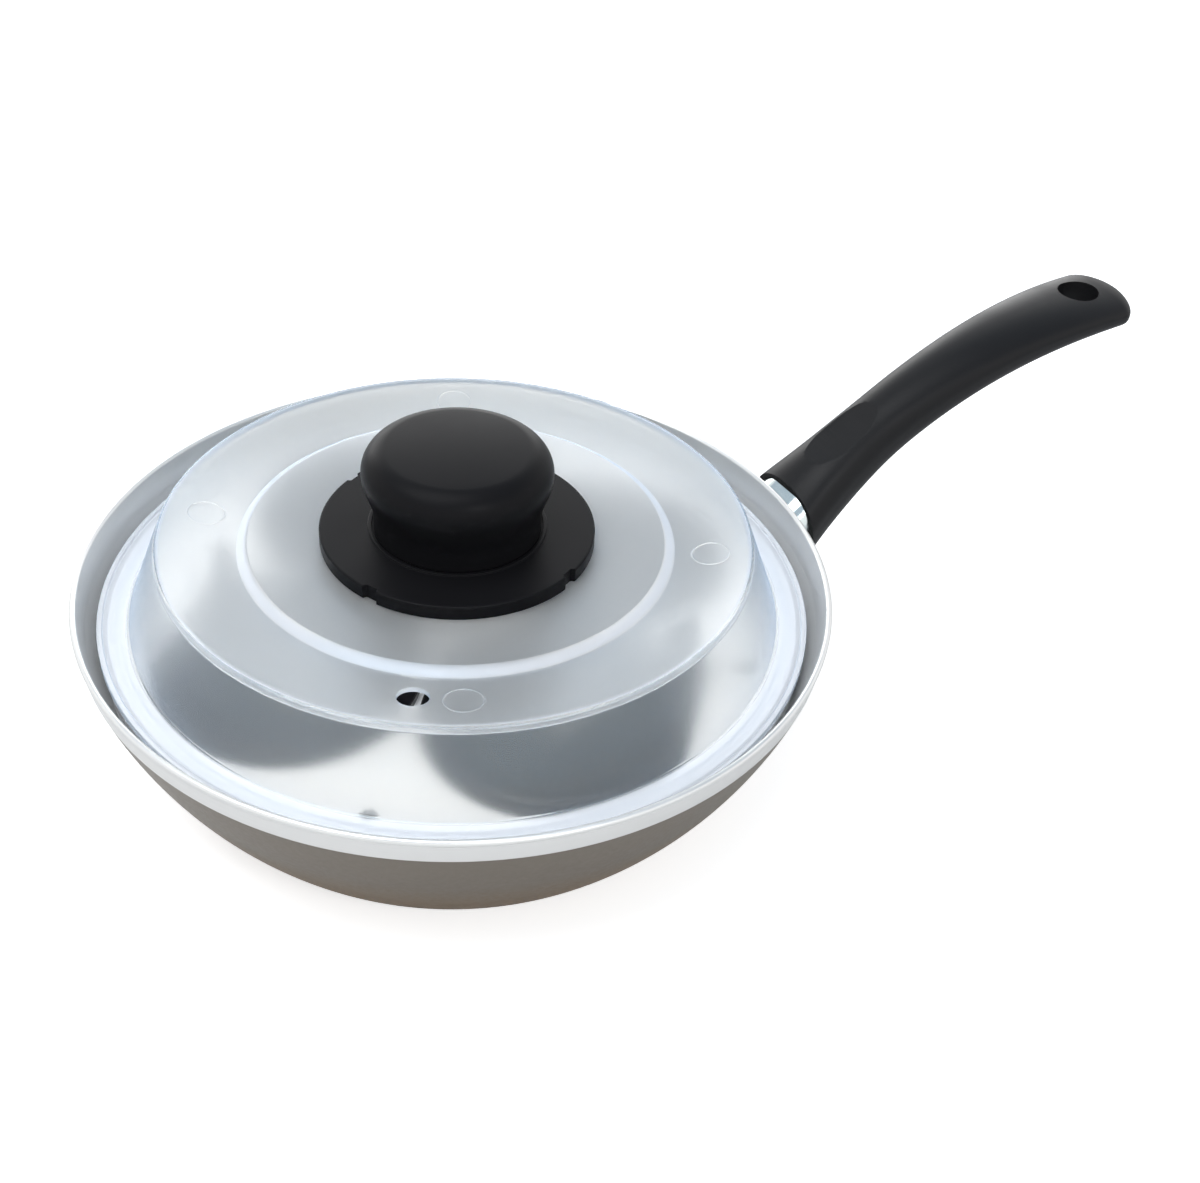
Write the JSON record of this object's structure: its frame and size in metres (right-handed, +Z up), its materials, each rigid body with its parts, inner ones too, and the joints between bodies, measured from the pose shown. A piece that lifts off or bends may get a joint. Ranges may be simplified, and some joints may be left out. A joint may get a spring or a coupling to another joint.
{
  "type": "egg poacher pan",
  "caption": "Shallow pan with a curved handle, a drop-in tray of round egg cups over a water space, and a domed translucent lid with a round knob",
  "frame": {"origin": "centre of the flat base's underside, where the pan stands", "axes": "+X along the handle from the pan's axis, +Y to the left of the handle, +Z up along the pan's axis"},
  "size_m": [0.3405, 0.205, 0.0934],
  "materials": {
    "pan_metal": "pressed sheet, metallic warm grey coat outside below a bare lip, bare satin metal inside",
    "bracket_metal": "cast, dull",
    "bright_zinc": "drawn sheet, bright plated",
    "phenolic": "moulded, fine satin",
    "fixing_steel": "plated screw steel",
    "tray_plastic": "moulded, smooth white",
    "post_plastic": "moulded, natural and cloudy",
    "cup_plastic": "moulded, polished black",
    "lid_plastic": "moulded, clear with a cloudy tint",
    "knob_plastic": "moulded, satin black",
    "insert_brass": "turned"
  },
  "bodies": {
    "pan": {"pan_body": "pan_metal", "handle_bracket": "bracket_metal", "ferrule": "bright_zinc", "handle": "phenolic", "handle_washer": "fixing_steel", "handle_screw": "fixing_steel"},
    "tray_unit": {"tray": "tray_plastic", "lift_post": "post_plastic"},
    "egg_cup_1": {"cup_1": "cup_plastic"},
    "egg_cup_2": {"cup_2": "cup_plastic"},
    "egg_cup_3": {"cup_3": "cup_plastic"},
    "egg_cup_4": {"cup_4": "cup_plastic"},
    "lid": {"lid_shell": "lid_plastic", "knob_skirt": "knob_plastic", "knob": "knob_plastic", "knob_insert": "insert_brass", "knob_washer": "fixing_steel", "knob_screw": "fixing_steel"}
  },
  "joints": [
    {"name": "tray_lift", "type": "slide", "parent": "pan", "child": "tray_unit", "axis": [0, 0, 1], "range_m": [0, 0.07]},
    {"name": "lid_lift", "type": "slide", "parent": "tray_unit", "child": "lid", "axis": [0, 0, 1], "range_m": [0, 0.08]},
    {"name": "cup_1_lift", "type": "slide", "parent": "tray_unit", "child": "egg_cup_1", "axis": [0, 0, 1], "range_m": [0, 0.006]},
    {"name": "cup_2_lift", "type": "slide", "parent": "tray_unit", "child": "egg_cup_2", "axis": [0, 0, 1], "range_m": [0, 0.006]},
    {"name": "cup_3_lift", "type": "slide", "parent": "tray_unit", "child": "egg_cup_3", "axis": [0, 0, 1], "range_m": [0, 0.006]},
    {"name": "cup_4_lift", "type": "slide", "parent": "tray_unit", "child": "egg_cup_4", "axis": [0, 0, 1], "range_m": [0, 0.006]}
  ]
}
